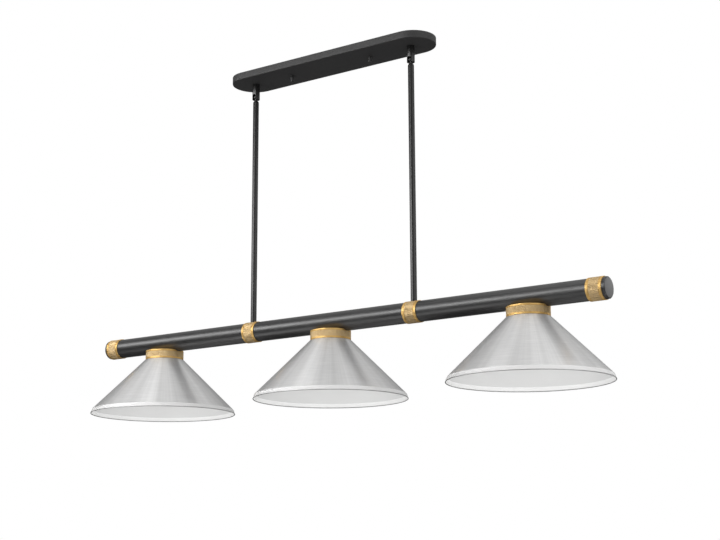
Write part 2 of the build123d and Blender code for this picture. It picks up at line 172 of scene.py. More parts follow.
def round_corner(piece, point, radius):
    """Rounds the corner of a drawn section that is nearest to a point."""
    corner = min(piece.data.vertices, key=lambda v: (v.co - point).length)
    pick_vertices(piece, {corner.index})
    bpy.ops.object.mode_set(mode="EDIT")
    bpy.ops.mesh.bevel(offset=radius, segments=ROUND_SEGMENTS, affect="VERTICES")
    bpy.ops.object.mode_set(mode="OBJECT")


def weld_all():
    """Merges the points that lie together, in edit mode."""
    bpy.ops.mesh.select_all(action="SELECT")
    bpy.ops.mesh.remove_doubles(threshold=WELD)


def turn(name, centre, axis, section, steps, rounds=()):
    """Spins a section round an axis. Section points are (along the axis, radius) in millimetres."""
    outwards = UP if axis == ALONG else ALONG

    def place(point):
        return centre + (axis * point[0] + outwards * point[1]) * MM

    piece = draw_section(name, [place(point) for point in section])
    for corner, radius in rounds:
        round_corner(piece, place(corner), radius * MM)
    bpy.ops.object.mode_set(mode="EDIT")
    bpy.ops.mesh.select_all(action="SELECT")
    bpy.ops.mesh.spin(steps=steps, angle=SPIN, center=centre, axis=axis)
    weld_all()
    bpy.ops.mesh.normals_make_consistent(inside=False)
    bpy.ops.object.mode_set(mode="OBJECT")
    return piece


# %% [markdown]
# A few more jobs come back for many pieces. A finished piece gets a finish, smooth shading that keeps
# its real edges, and the body that it moves with. A repeated piece is copied with a mesh of its own
# and shifted, and its place goes into the mesh. A modifier is added, set and applied at once.

# %% Helpers for finishing pieces
SMOOTH_BELOW = math.radians(32)


def make_active(piece):
    """Selects one piece alone, for the next operator."""
    bpy.ops.object.select_all(action="DESELECT")
    piece.select_set(True)
    bpy.context.view_layer.objects.active = piece


def apply_modifier(piece, kind, **settings):
    """Adds a modifier with these settings and applies it."""
    make_active(piece)
    modifier = piece.modifiers.new(kind, kind)
    for setting, value in settings.items():
        setattr(modifier, setting, value)
    bpy.ops.object.modifier_apply(modifier=modifier.name)


def cut(piece, cutter):
    """Cuts a helper solid out of a piece and throws the helper away."""
    apply_modifier(piece, "BOOLEAN", operation="DIFFERENCE", object=cutter, solver="EXACT")
    bpy.data.objects.remove(cutter)


def smooth(piece):
    """Shades a piece smooth, except across its sharper edges."""
    make_active(piece)
    bpy.ops.object.shade_smooth_by_angle(angle=SMOOTH_BELOW)


def coat(piece, finish):
    """Gives a piece its finish and shades it smooth."""
    piece.data.materials.append(finish)
    smooth(piece)


def copy_to(piece, name, shift):
    """Copies a piece with its own mesh and moves the copy by a shift."""
    make_active(piece)
    bpy.ops.object.duplicate()
    twin = bpy.context.object
    twin.name = name
    twin.data.name = name
    bpy.ops.transform.translate(value=shift)
    bpy.ops.object.transform_apply()
    return twin


def fit(piece, body, slot, *nodes):
    """Puts a finished piece on its body, in the place of its CAD nodes."""
    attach(piece, body)
    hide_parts(*nodes)
    print(piece.name, "stands for", *nodes, "with", len(piece.data.polygons), "faces")


def fit_pair(piece, shift, body, slot, node):
    """Fits a finished piece of the left side, and its copy on the right side."""
    twin = copy_to(piece, piece.name.replace("left", "right"), shift)
    fit(piece, body, slot, f"{node}_left")
    fit(twin, body.replace("left", "right"), slot, f"{node}_right")


def fit_lamps(piece, slot, node):
    """Fits a finished piece of the middle lamp, and its copies on the other two lamps."""
    fit(piece, "hanging", slot, f"{node}_middle")
    for lamp, shift in lamp_shift.items():
        twin = copy_to(piece, piece.name.replace("middle", lamp), shift)
        fit(twin, "hanging", slot, f"{node}_{lamp}")


# %% [markdown]
# A finish is a Principled shader fed by a few procedural nodes. Values that are the same all over go
# straight onto the shader. Values that vary, such as the grain of brushing, come from noise on the
# piece's own Object coordinates, or from an attribute that follows the turning of the piece. A Mix
# node has sockets of one name for numbers and for colours, so its colour sockets go by number. One
# helper feeds a node: it links a socket to an output, or sets a plain value.

# %% Helpers for finishes
NOISE_LOW = 0.3
NOISE_HIGH = 0.7
MIX_FACTOR = 0
MIX_FIRST = 6
MIX_SECOND = 7
MIX_COLOUR = 2


def feed(owner, node, sockets):
    """Gives each socket of a node a value, or a link from the output of another node."""
    for socket, value in sockets.items():
        if isinstance(value, bpy.types.NodeSocket):
            owner.node_tree.links.new(value, node.inputs[socket])
        else:
            node.inputs[socket].default_value = value


def new_finish(name, sockets):
    """A material whose constant values are set on the shader itself."""
    finish = bpy.data.materials.new(name)
    finish.use_nodes = True
    shader = finish.node_tree.nodes["Principled BSDF"]
    feed(finish, shader, sockets)
    return finish, shader


def add(owner, kind, sockets=None, **settings):
    """Adds a node to a finish or to the world, with its settings and what feeds its sockets."""
    node = owner.node_tree.nodes.new(kind)
    for setting, value in settings.items():
        setattr(node, setting, value)
    feed(owner, node, sockets or {})
    return node


def own_coordinates(finish):
    """Object coordinates of the piece."""
    return add(finish, "ShaderNodeTexCoord").outputs["Object"]


def stored(finish, name):
    """A node that reads an attribute of the mesh."""
    return add(finish, "ShaderNodeAttribute", attribute_name=name)


def grain(finish, vector, scale, detail=3.0, stretch=(1, 1, 1), rough=0.5):
    """Noise from 0 to 1; a larger stretch along an axis makes the grain finer along it."""
    mapping = add(finish, "ShaderNodeMapping", {"Vector": vector, "Scale": stretch})
    look = {"Scale": scale, "Detail": detail, "Roughness": rough}
    noise = add(finish, "ShaderNodeTexNoise", {"Vector": mapping.outputs["Vector"], **look})
    return noise.outputs["Fac"]


def spread(finish, factor, low, high):
    """Maps the useful middle of a noise to a range of values."""
    limits = {"From Min": NOISE_LOW, "From Max": NOISE_HIGH, "To Min": low, "To Max": high}
    return add(finish, "ShaderNodeMapRange", {"Value": factor, **limits}).outputs["Result"]


def tint(finish, factor, dark, light):
    """Colours from a dark one to a light one."""
    ramp = add(finish, "ShaderNodeValToRGB", {"Fac": factor})
    for stop, colour in zip(ramp.color_ramp.elements, (dark, light)):
        stop.color = (*colour, 1)
    return ramp.outputs["Color"]


def dress(finish, shader, colour, roughness):
    """Feeds a shader with a colour and a roughness that vary."""
    feed(finish, shader, {"Base Color": colour, "Roughness": roughness})
    print(finish.name, "is made of", len(finish.node_tree.nodes), "nodes so far")


def bump(finish, shader, height, depth, strength):
    """Gives a surface a fine relief of a real depth, in millimetres."""
    sockets = {"Height": height, "Distance": depth * MM, "Strength": strength}
    relief = add(finish, "ShaderNodeBump", sockets)
    feed(finish, shader, {"Normal": relief.outputs["Normal"]})


# %% [markdown]
# All the black pieces are powder coated. The powder melts into a skin with a very fine orange peel, so
# its gloss is soft and wavers a little. Noise at about a millimetre gives that peel as a bump, and a
# slower noise varies the gloss. One recipe makes three finishes: a satin one with a long highlight for
# the bar and its caps, a smoother one for the slim rods and their swivels, and a flatter one for the
# canopy and its knobs.

# %% Black powder coats
PEEL_SCALE = 700
PEEL_DEPTH = 0.01
CLOUD_SCALE = 14


def powder_coat(name, shine, dark, light, smoothest, roughest, relief):
    """Black paint with a fine orange peel."""
    finish, shader = new_finish(name, {"Specular IOR Level": shine})
    where = own_coordinates(finish)
    peel = grain(finish, where, PEEL_SCALE, detail=2)
    cloud = grain(finish, where, CLOUD_SCALE)
    colour = tint(finish, cloud, dark, light)
    dress(finish, shader, colour, spread(finish, cloud, smoothest, roughest))
    bump(finish, shader, peel, PEEL_DEPTH, relief)
    return finish


satin_black = powder_coat(
    "satin_black", 0.9, (0.005, 0.005, 0.0053), (0.009, 0.0087, 0.0087), 0.36, 0.42, relief=0.2)
rod_black = powder_coat(
    "rod_black", 0.45, (0.005, 0.005, 0.005), (0.009, 0.0085, 0.0085), 0.28, 0.33, relief=0.05)
matt_black = powder_coat(
    "matt_black", 0.5, (0.012, 0.012, 0.0125), (0.019, 0.0185, 0.0185), 0.54, 0.62, relief=0.2)

# %% [markdown]
# Rings and collars are brass with a rubbed antique finish: a dull patina stays in the hollows of the
# knurl, and the metal is golden where cloth rubs it. The attribute called hollow is 1 at the
# pressed-in points of the knurl and blends the patina in. Fine noise roughens the gloss.

# %% Rubbed brass
PATINA = (0.58, 0.46, 0.29, 1)
brass, shader = new_finish("rubbed_brass", {"Metallic": 1.0})
where = own_coordinates(brass)
cloud = grain(brass, where, 60)
scratch = grain(brass, where, 900, detail=2)
golden = tint(brass, cloud, (0.62, 0.40, 0.135), (0.74, 0.50, 0.195))
hollow = stored(brass, "hollow").outputs["Fac"]
blend = {MIX_FACTOR: hollow, MIX_FIRST: golden, MIX_SECOND: PATINA}
patina = add(brass, "ShaderNodeMix", blend, data_type="RGBA").outputs[MIX_COLOUR]
dress(brass, shader, patina, spread(brass, scratch, 0.48, 0.60))

# %% [markdown]
# The shades are spun from sheet and brushed while they turn, so the brush marks run round the cone.
# Such a surface spreads its highlights across the marks, up and down the cone, and shows soft rays.
# The attribute called turned holds each point's direction from the axis and its height. From it come
# the tangent for the anisotropic gloss, painted reflection rays, which are light and dark changes of
# colour round the cone, and the fine marks, which show a little in the colour too. The tangent runs
# round the cone, and a rotation of a quarter turn spreads the gloss across it. Lacquer hazes the metal
# slightly, so it isn't fully metallic.

# %% Brushed nickel
NICKEL = {"Metallic": 0.72, "Anisotropic": 0.58, "Anisotropic Rotation": 0.25}
MARK_SHARE = 0.17
MARK_DEPTH = 0.02
MARK_RELIEF = 0.2
nickel, shader = new_finish("brushed_nickel", NICKEL)
turned = stored(nickel, "turned").outputs["Vector"]
# Painted reflection rays: light and dark colour round the cone stands in for reflected light.
painted_reflection_rays = grain(nickel, turned, 4.5, detail=5, stretch=(1, 1, 0), rough=0.75)
marks = grain(nickel, turned, 1.0, detail=5, stretch=(3, 3, 380), rough=0.62)
blend = {"Factor": MARK_SHARE, "A": painted_reflection_rays, "B": spread(nickel, marks, 0, 1)}
painted_rays_and_marks = add(nickel, "ShaderNodeMix", blend).outputs["Result"]
# The colour mixes the painted reflection rays with the real brush marks.
tone = tint(nickel, painted_rays_and_marks, (0.445, 0.443, 0.441), (0.855, 0.853, 0.85))
across = {0: UP, 1: turned}
round_axis = add(nickel, "ShaderNodeVectorMath", across, operation="CROSS_PRODUCT")
feed(nickel, shader, {"Tangent": round_axis.outputs["Vector"]})
dress(nickel, shader, tone, spread(nickel, marks, 0.35, 0.39))
bump(nickel, shader, marks, MARK_DEPTH, MARK_RELIEF)

# %% [markdown]
# The lip at the rim is the same metal under a hazier lacquer, so it is pale and shines softly, with
# only faint marks. The rolled bead at its edge is bare metal, and its darker colour paints a shaded
# line round the rim. Inside, the shade is sprayed white, so that it throws the light down. Enamel of
# this kind is nearly matt. Its colour is painted light and shade: darker in the deep cone, where shade
# falls, and whiter inside the lip, which catches more light.

# %% Lip, bead and white enamel
def turned_nickel(name, metallic, dark, light, smoothest, roughest):
    """Nickel with fine marks around the axis. Less metallic means a hazier lacquer."""
    finish, shader = new_finish(name, {"Metallic": metallic})
    turned = stored(finish, "turned").outputs["Vector"]
    marks = grain(finish, turned, 1.0, detail=3, stretch=(2, 2, 900))
    colour = tint(finish, marks, dark, light)
    dress(finish, shader, colour, spread(finish, marks, smoothest, roughest))
    return finish


polished_lip = turned_nickel(
    "polished_lip", 0.55, (0.62, 0.618, 0.615), (0.70, 0.698, 0.695), 0.60, 0.66)
# The bead's darker colour is painted shade: it draws the shaded line at the rim's edge.
rim_nickel = turned_nickel(
    "rim_nickel", 1.0, (0.42, 0.419, 0.417), (0.48, 0.479, 0.477), 0.50, 0.58)

ENAMEL = {"Coat Weight": 0.1, "Coat Roughness": 0.3}
SPRAY_DEPTH = 0.01
SPRAY_RELIEF = 0.3


def enamel(name, dark, light):
    """A nearly matt white with a faint spray texture."""
    finish, shader = new_finish(name, ENAMEL)
    where = own_coordinates(finish)
    cloud = grain(finish, where, 22)
    speck = grain(finish, where, 800, detail=2)
    dress(finish, shader, tint(finish, cloud, dark, light), spread(finish, cloud, 0.42, 0.52))
    bump(finish, shader, speck, SPRAY_DEPTH, SPRAY_RELIEF)
    return finish


# One enamel in two colours, painted shade and painted light: darker in the deep cone, whiter inside the
# lip.
white_enamel = enamel("white_enamel", (0.62, 0.62, 0.615), (0.66, 0.66, 0.655))
lip_enamel = enamel("lip_enamel", (0.82, 0.82, 0.815), (0.86, 0.86, 0.855))

# %% [markdown]
# The rest of the light is hidden from most sides but still has its own finishes: zinc on strap, nuts
# and washers, glazed porcelain on the sockets, bright brass in them, a green ground screw, and the
# jackets and splice of the wiring.

# %% Finishes of the fittings and the wiring
def plain_finish(name, dark, light, smoothest, roughest, scale, sockets):
    """A finish whose colour and roughness both follow one noise."""
    finish, shader = new_finish(name, sockets)
    patches = grain(finish, own_coordinates(finish), scale)
    colour = tint(finish, patches, dark, light)
    dress(finish, shader, colour, spread(finish, patches, smoothest, roughest))
    return finish


METAL = {"Metallic": 1.0}
GLAZE = {"Coat Weight": 0.6, "Coat Roughness": 0.08}
PLAIN = {}
zinc_steel = plain_finish(
    "zinc_steel", (0.42, 0.43, 0.45), (0.60, 0.60, 0.59), 0.28, 0.45, 220, METAL)
contact_brass = plain_finish(
    "contact_brass", (0.62, 0.42, 0.16), (0.78, 0.56, 0.25), 0.2, 0.32, 160, METAL)
porcelain = plain_finish(
    "porcelain", (0.74, 0.72, 0.68), (0.82, 0.81, 0.78), 0.2, 0.3, 40, GLAZE)
green_paint = plain_finish(
    "green_paint", (0.02, 0.16, 0.05), (0.035, 0.23, 0.08), 0.3, 0.42, 90, PLAIN)
lead_jacket = plain_finish(
    "lead_jacket", (0.30, 0.29, 0.27), (0.42, 0.41, 0.39), 0.45, 0.6, 120, PLAIN)
splice_plastic = plain_finish(
    "splice_plastic", (0.55, 0.54, 0.50), (0.66, 0.65, 0.61), 0.3, 0.4, 70, PLAIN)
print("finishes:", len(bpy.data.materials))

# %% [markdown]
# The CAD nodes stay as the inner parts of the light. Each gets the finish of its slot in the record.
# The visible pieces that follow take the place of their nodes one by one.

# %% Finish the CAD nodes
FINISHES = {
    "black_paint": matt_black,
    "rubbed_brass": brass,
    "brushed_nickel": nickel,
    "zinc_steel": zinc_steel,
    "green_paint": green_paint,
    "porcelain": porcelain,
    "contact_brass": contact_brass,
    "lead_jacket": lead_jacket,
    "splice_plastic": splice_plastic,
}
for part in frame["record"]["subparts"]:
    node_materials = frame["nodes"][part["node"]].data.materials
    node_materials.clear()
    node_materials.append(FINISHES[part["material_slot"]])

# %% [markdown]
# The canopy is a shallow pan pressed from sheet. It starts as a box. Its four upright edges get a
# bevel as wide as half the box, which turns the ends into half circles. The top face is inset by the
# sheet's thickness and pushed down to hollow the pan, and the outer bottom edge gets a small round.

# %% Canopy
SHEET = 1.2 * MM
CANOPY_EDGE = 1.5 * MM
CANOPY_END_SEGMENTS = 24
FACES_UP = 0.9
low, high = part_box("canopy_pan")
bpy.ops.mesh.primitive_cube_add(size=1, location=(low + high) / 2, scale=high - low)
canopy = bpy.context.object
canopy.name = "canopy"
bpy.ops.object.transform_apply()
pick_edges(canopy, lambda a, b: abs(a.z - b.z) > WELD)
bpy.ops.object.mode_set(mode="EDIT")
bpy.ops.mesh.bevel(offset=(high.y - low.y) / 2, segments=CANOPY_END_SEGMENTS, affect="EDGES")
weld_all()
bpy.ops.object.mode_set(mode="OBJECT")
pick_faces(canopy, lambda face: face.normal.z > FACES_UP)
bpy.ops.object.mode_set(mode="EDIT")
bpy.ops.mesh.inset(thickness=SHEET)
hollow_by = (0, 0, SHEET - (high.z - low.z))
bpy.ops.mesh.extrude_region_move(TRANSFORM_OT_translate={"value": hollow_by})
bpy.ops.object.mode_set(mode="OBJECT")
pick_edges(canopy, lambda a, b: max(a.z, b.z) < low.z + WELD)
bpy.ops.object.mode_set(mode="EDIT")
bpy.ops.mesh.bevel(offset=CANOPY_EDGE, segments=ROUND_SEGMENTS, affect="EDGES")
bpy.ops.mesh.select_all(action="SELECT")
bpy.ops.mesh.normals_make_consistent(inside=False)
bpy.ops.object.mode_set(mode="OBJECT")
coat(canopy, matt_black)
fit(canopy, "canopy", "black_paint", "canopy_pan")

# %% [markdown]
# Two small knobs under the canopy are round nuts that are turned by hand. Each is a short turned
# stem with a neck against the canopy and a rounded end.

# %% Canopy knobs
NECK_RADIUS = 3.8
NECK_HEIGHT = 2.0
KNOB_BORE = 2.1
KNOB_BORE_DEPTH = 11
KNOB_SHOULDER_ROUND = 0.5
KNOB_END_ROUND = 2.5
SMALL_STEPS = 48
knob_radius = size("canopy_knob_left").x / 2
knob_height = size("canopy_knob_left").z
knob_top = Vector((middle("canopy_knob_left").x, 0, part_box("canopy_knob_left")[1].z))
section = [
    (-KNOB_BORE_DEPTH, 0), (-KNOB_BORE_DEPTH, KNOB_BORE), (0, KNOB_BORE), (0, NECK_RADIUS),
    (-NECK_HEIGHT, NECK_RADIUS), (-NECK_HEIGHT, knob_radius), (-knob_height, knob_radius),
    (-knob_height, 0),
]
rounds = [
    ((-NECK_HEIGHT, knob_radius), KNOB_SHOULDER_ROUND), ((-knob_height, knob_radius), KNOB_END_ROUND),
]
knob = turn("knob_left", knob_top, UP, section, SMALL_STEPS, rounds)
coat(knob, matt_black)
knob_shift = Vector((middle("canopy_knob_right").x - knob_top.x, 0, 0))
fit_pair(knob, knob_shift, "knob_left", "black_paint", "canopy_knob")

# %% [markdown]
# A sleeve under the canopy holds the ball of the swivel. It is a turned tube with a closed-in mouth,
# whose hollow follows the ball.

# %% Swivel sleeves
BALL_SEAT = 6.35
MOUTH_RADIUS = 5.3
SEAT_HEIGHT = 7.0
SEAT_STEPS = 6
SLEEVE_ROUND = 1.0
ROD_STEPS = 64
sleeve_radius = size("swivel_sleeve_left").x / 2
sleeve_length = size("swivel_sleeve_left").z
sleeve_foot = Vector((middle("swivel_sleeve_left").x, 0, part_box("swivel_sleeve_left")[0].z))
seat_foot = SEAT_HEIGHT - math.sqrt(BALL_SEAT**2 - MOUTH_RADIUS**2)
section = [
    (sleeve_length, BALL_SEAT), (sleeve_length, sleeve_radius), (0, sleeve_radius), (0, MOUTH_RADIUS),
]
for height in evenly(seat_foot, SEAT_HEIGHT, SEAT_STEPS):
    section.append((height, math.sqrt(BALL_SEAT**2 - (SEAT_HEIGHT - height)**2)))
section.append(section[0])
rounds = [((0, sleeve_radius), SLEEVE_ROUND)]
sleeve = turn("sleeve_left", sleeve_foot, UP, section, ROD_STEPS, rounds)
print("sleeve radius", sleeve_radius, "mm, length", sleeve_length, "mm")

# %% [markdown]
# An arched slot in the sleeve's front lets the rod's neck swing out. It is cut with a Boolean: the
# cutter is a box whose two upper edges are bevelled into an arch. A Bevel modifier then breaks the
# edges that the cut left sharp.

# %% Slots in the sleeves
SLOT_WIDTH = 9.4
SLOT_HEIGHT = 13.0
ARCH_SEGMENTS = 10
SLOT_EDGE = {
    "width": 0.25 * MM, "segments": 2, "limit_method": "ANGLE", "angle_limit": math.radians(40),
}
slot_depth = 2 * sleeve_radius * MM
slot_place = sleeve_foot + Vector((0, -slot_depth / 2, 0))
slot_size = (SLOT_WIDTH * MM, slot_depth, 2 * SLOT_HEIGHT * MM)
bpy.ops.mesh.primitive_cube_add(size=1, location=slot_place, scale=slot_size)
cutter = bpy.context.object
pick_edges(cutter, lambda a, b: a.z > 0 and b.z > 0 and abs(a.y - b.y) > WELD)
bpy.ops.object.mode_set(mode="EDIT")
bpy.ops.mesh.bevel(offset=SLOT_WIDTH / 2 * MM, segments=ARCH_SEGMENTS, affect="EDGES")
weld_all()
bpy.ops.object.mode_set(mode="OBJECT")
cut(sleeve, cutter)
apply_modifier(sleeve, "BEVEL", **SLOT_EDGE)
coat(sleeve, rod_black)
rod_shift = Vector((middle("downrod_right").x - middle("downrod_left").x, 0, 0))
fit_pair(sleeve, rod_shift, "canopy", "black_paint", "swivel_sleeve")

# %% [markdown]
# The ball with its neck and stem is one turned piece. Its round side is drawn as an arc, from the
# bore at its top to the neck below.

# %% Swivel balls
BALL_RADIUS = 6.25
NECK = 3.9
STEM_BORE = 2.3
BALL_ARC_STEPS = 20
ball_centre = sleeve_foot + UP * SEAT_HEIGHT * MM
stem_foot = (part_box("swivel_ball_left")[0].z - ball_centre.z) / MM
turn_from = math.asin(STEM_BORE / BALL_RADIUS)
turn_to = math.pi - math.asin(NECK / BALL_RADIUS)
section = [(stem_foot, STEM_BORE)]
for angle in evenly(turn_from, turn_to, BALL_ARC_STEPS):
    section.append((BALL_RADIUS * math.cos(angle), BALL_RADIUS * math.sin(angle)))
section += [(stem_foot, NECK), (stem_foot, STEM_BORE)]
ball = turn("ball_left", ball_centre, UP, section, SMALL_STEPS)
coat(ball, rod_black)
fit_pair(ball, rod_shift, "hanging", "black_paint", "swivel_ball")

# %% [markdown]
# The rod is a tube whose plugged top is rounded towards the stem that screws into it. This round is
# an arc in the section again. The rod's foot ends inside the ring on the bar.

# %% Rods
SEAT_SLACK = 0.05
ROD_BORE = 5.05
ROD_PLUG = 15.0
ROD_TOP_ROUND = 4.8
ROD_ARC_STEPS = 8
rod_hole = NECK + SEAT_SLACK
rod_radius = size("downrod_left").x / 2
rod_length = size("downrod_left").z
rod_top = Vector((middle("downrod_left").x, 0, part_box("downrod_left")[1].z))
round_reach = rod_radius - ROD_TOP_ROUND
round_from = math.asin((rod_hole - round_reach) / ROD_TOP_ROUND)
section = []
for angle in evenly(round_from, math.pi / 2, ROD_ARC_STEPS):
    fall = ROD_TOP_ROUND * (math.cos(angle) - math.cos(round_from))
    section.append((fall, round_reach + ROD_TOP_ROUND * math.sin(angle)))
section += [(-rod_length, rod_radius), (-rod_length, ROD_BORE)]
section += [(-ROD_PLUG, ROD_BORE), (-ROD_PLUG, rod_hole)]
section.append(section[0])
rod = turn("rod_left", rod_top, UP, section, ROD_STEPS)
coat(rod, rod_black)
fit_pair(rod, rod_shift, "hanging", "black_paint", "downrod")

# %% [markdown]
# The bar is one long tube. Its section is a thin rectangle, and its many steps keep the long
# highlight smooth.

# %% Bar
TUBE_WALL = 1.5
BAR_STEPS = 128
tube_bore = tube_radius - TUBE_WALL
section = [
    (-tube_half, tube_bore), (-tube_half, tube_radius), (tube_half, tube_radius),
    (tube_half, tube_bore), (-tube_half, tube_bore),
]
bar = turn("bar", bar_middle, ALONG, section, BAR_STEPS)
coat(bar, satin_black)
fit(bar, "hanging", "black_paint", "bar_tube")

# %% [markdown]
# The bar's ends are closed by caps with a fine groove and a chamfered face, both drawn in the cap's
# section. The second cap is the first one turned round.

# %% End caps
PLUG_SLACK = 0.1
GROOVE_PLACE = 3.4
GROOVE_WIDTH = 0.8
GROOVE_DEPTH = 0.5
CHAMFER = 1.8
SEAM_ROUND = 0.3
GROOVE_ROUND = 0.2
CHAMFER_ROUND = 0.35
cap_low, cap_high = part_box("end_cap_right")
face = (cap_high.x - bar_middle.x) / MM
plug_end = (cap_low.x - bar_middle.x) / MM
plug_radius = tube_bore - PLUG_SLACK
groove_near = tube_half + GROOVE_PLACE
groove_far = tube_half + GROOVE_PLACE + GROOVE_WIDTH
groove_floor = tube_radius - GROOVE_DEPTH
section = [
    (plug_end, 0), (plug_end, plug_radius), (tube_half, plug_radius), (tube_half, tube_radius),
    (groove_near, tube_radius), (groove_near, groove_floor),
    (groove_far, groove_floor), (groove_far, tube_radius),
    (face - CHAMFER, tube_radius), (face, tube_radius - CHAMFER), (face, 0),
]
rounds = [
    ((tube_half, tube_radius), SEAM_ROUND), ((groove_near, tube_radius), GROOVE_ROUND),
    ((groove_far, tube_radius), GROOVE_ROUND), ((face - CHAMFER, tube_radius), CHAMFER_ROUND),
    ((face, tube_radius - CHAMFER), CHAMFER_ROUND),
]
cap = turn("end_cap_right_turned", bar_middle, ALONG, section, BAR_STEPS, rounds)
coat(cap, satin_black)
twin = copy_to(cap, "end_cap_left_turned", (0, 0, 0))
bpy.ops.transform.rotate(value=math.pi, orient_axis="Z", center_override=bar_middle)
bpy.ops.object.transform_apply()
fit(cap, "hanging", "black_paint", "end_cap_right")
fit(twin, "hanging", "black_paint", "end_cap_left")

# %% [markdown]
# Four brass rings sit on the bar, and a brass collar tops each shade. The wide middle band of each
# has a diamond knurl, pressed into the metal by two wheels. Here the band is drawn in many short
# steps, so that the spin makes a grid. Every second point of the grid is then pushed in, like the
# dark squares of a chess board. A Triangulate modifier that cuts along the shorter diagonal leaves
# small pyramids with crossing grooves between them.

# %% Knurling helper
KNURL_PITCH = 1.25
KNURL_DEPTH = 0.2


def knurl_rows(start, end):
    """An even number of steps along a band, two for each tooth."""
    return 2 * round(abs(end - start) / KNURL_PITCH)


def knurl_columns(radius):
    """An even number of steps round a piece, two for each tooth."""
    return 2 * round(SPIN * radius / KNURL_PITCH)


def band_points(start, end, radius):
    """The section of a band, in as many steps as its knurl has rows."""
    return [(along, radius) for along in evenly(start, end, knurl_rows(start, end))]


def press_knurl(piece, centre, axis, start, end, radius):
    """Pushes every second point of a band inwards and marks those points as hollow."""
    rows = knurl_rows(start, end)
    columns = knurl_columns(radius)
    pressed = set()
    for vertex in piece.data.vertices:
        offset = (vertex.co - centre) / MM
        along = offset.dot(axis)
        outwards = offset - axis * along
        row = (along - start) / (end - start) * rows
        if not 0.5 < row < rows - 0.5 or outwards.length < radius - KNURL_DEPTH:
            continue
        angle = math.atan2(outwards.y, outwards.z if axis == ALONG else outwards.x)
        if (round(row) + round(angle / SPIN * columns)) % 2:
            pressed.add(vertex.index)
    hollow = piece.data.attributes.new("hollow", "FLOAT", "POINT")
    hollow.data.foreach_set("value", [float(v.index in pressed) for v in piece.data.vertices])
    pick_vertices(piece, pressed)
    shrink = 1 - KNURL_DEPTH / radius
    scale = (1, shrink, shrink) if axis == ALONG else (shrink, shrink, 1)
    bpy.ops.object.mode_set(mode="EDIT")
    bpy.ops.transform.resize(value=scale, center_override=centre)
    bpy.ops.object.mode_set(mode="OBJECT")
    apply_modifier(piece, "TRIANGULATE", quad_method="SHORTEST_DIAGONAL")
    print(piece.name, "has", len(pressed), "pressed points")


# %% [markdown]
# A ring's section goes round its plain edge bands, the two fine grooves and the knurled band. All four
# rings are alike, so one is modelled and copied. The two under the rods then get a hole for the rod,
# with a Boolean and a turned plug.

# %% Rings on the bar
RING_BAND = 5.0
RING_GROOVE = 1.0
RING_GROOVE_DEPTH = 0.5
RING_EDGE = 0.5
RING_GROOVE_ROUND = 0.2
seat_radius = tube_radius + SEAT_SLACK
ring_radius = size("ring_left_end").z / 2
ring_centre = middle("ring_left_end")
half = size("ring_left_end").x / 2
shoulder = half - RING_BAND
start = shoulder - RING_GROOVE
groove_floor = ring_radius - RING_GROOVE_DEPTH
section = [(-half, seat_radius), (-half, ring_radius), (-shoulder, ring_radius)]
section += [(-shoulder, groove_floor), (-start, groove_floor)]
section += band_points(-start, start, ring_radius)
section += [(start, groove_floor), (shoulder, groove_floor)]
section += [(shoulder, ring_radius), (half, ring_radius), (half, seat_radius)]
section.append(section[0])
rounds = [
    ((-half, ring_radius), RING_EDGE), ((half, ring_radius), RING_EDGE),
    ((-shoulder, ring_radius), RING_GROOVE_ROUND), ((shoulder, ring_radius), RING_GROOVE_ROUND),
]
ring_steps = knurl_columns(ring_radius)
ring = turn("knurled_ring_left_end", ring_centre, ALONG, section, ring_steps, rounds)
press_knurl(ring, ring_centre, ALONG, -start, start, ring_radius)
coat(ring, brass)
fit(ring, "hanging", "rubbed_brass", "ring_left_end")

ring_hole = rod_radius + SEAT_SLACK
plug_section = [(0, 0), (0, ring_hole), (2 * ring_radius, ring_hole), (2 * ring_radius, 0)]
for place in ("left_rod", "right_rod", "right_end"):
    here = Vector((middle(f"ring_{place}").x, 0, bar_middle.z))
    twin = copy_to(ring, f"knurled_ring_{place}", ALONG * (here.x - ring_centre.x))
    if "rod" in place:
        cut(twin, turn("plug", here, UP, plug_section, ROD_STEPS))
        smooth(twin)
    fit(twin, "hanging", "rubbed_brass", f"ring_{place}")

# %% [markdown]
# A collar is a round cap between the bar and a shade. Its side has the same knurl between two fine
# grooves and two narrow plain bands. Its top is hollowed to sit on the bar, with a Boolean again.

# %% Collars
COLLAR_BAND = 3.0
COLLAR_GROOVE = 0.8
COLLAR_GROOVE_DEPTH = 0.5
COLLAR_EDGE = 0.5
COLLAR_GROOVE_ROUND = 0.15
COLLAR_WALL = 3.0
COLLAR_ROOF = 6.0
NIPPLE_HOLE = 5.2
collar_radius = size("collar_middle").x / 2
collar_foot, collar_top = heights("collar_middle")
collar_axis = Vector((middle("collar_middle").x, 0, bar_middle.z))
upper_band = collar_top - COLLAR_BAND
lower_band = collar_foot + COLLAR_BAND
knurl_top = upper_band - COLLAR_GROOVE
knurl_foot = lower_band + COLLAR_GROOVE
groove_floor = collar_radius - COLLAR_GROOVE_DEPTH
hollow_radius = collar_radius - COLLAR_WALL
hollow_top = collar_top - COLLAR_ROOF
section = [(collar_top, NIPPLE_HOLE), (collar_top, collar_radius), (upper_band, collar_radius)]
section += [(upper_band, groove_floor), (knurl_top, groove_floor)]
section += band_points(knurl_top, knurl_foot, collar_radius)
section += [(knurl_foot, groove_floor), (lower_band, groove_floor), (lower_band, collar_radius)]
section += [(collar_foot, collar_radius), (collar_foot, hollow_radius)]
section += [(hollow_top, hollow_radius), (hollow_top, NIPPLE_HOLE)]
section.append(section[0])
rounds = [
    ((collar_top, collar_radius), COLLAR_EDGE), ((collar_foot, collar_radius), COLLAR_EDGE),
    ((upper_band, collar_radius), COLLAR_GROOVE_ROUND), ((lower_band, collar_radius), COLLAR_GROOVE_ROUND),
]
collar_steps = knurl_columns(collar_radius)
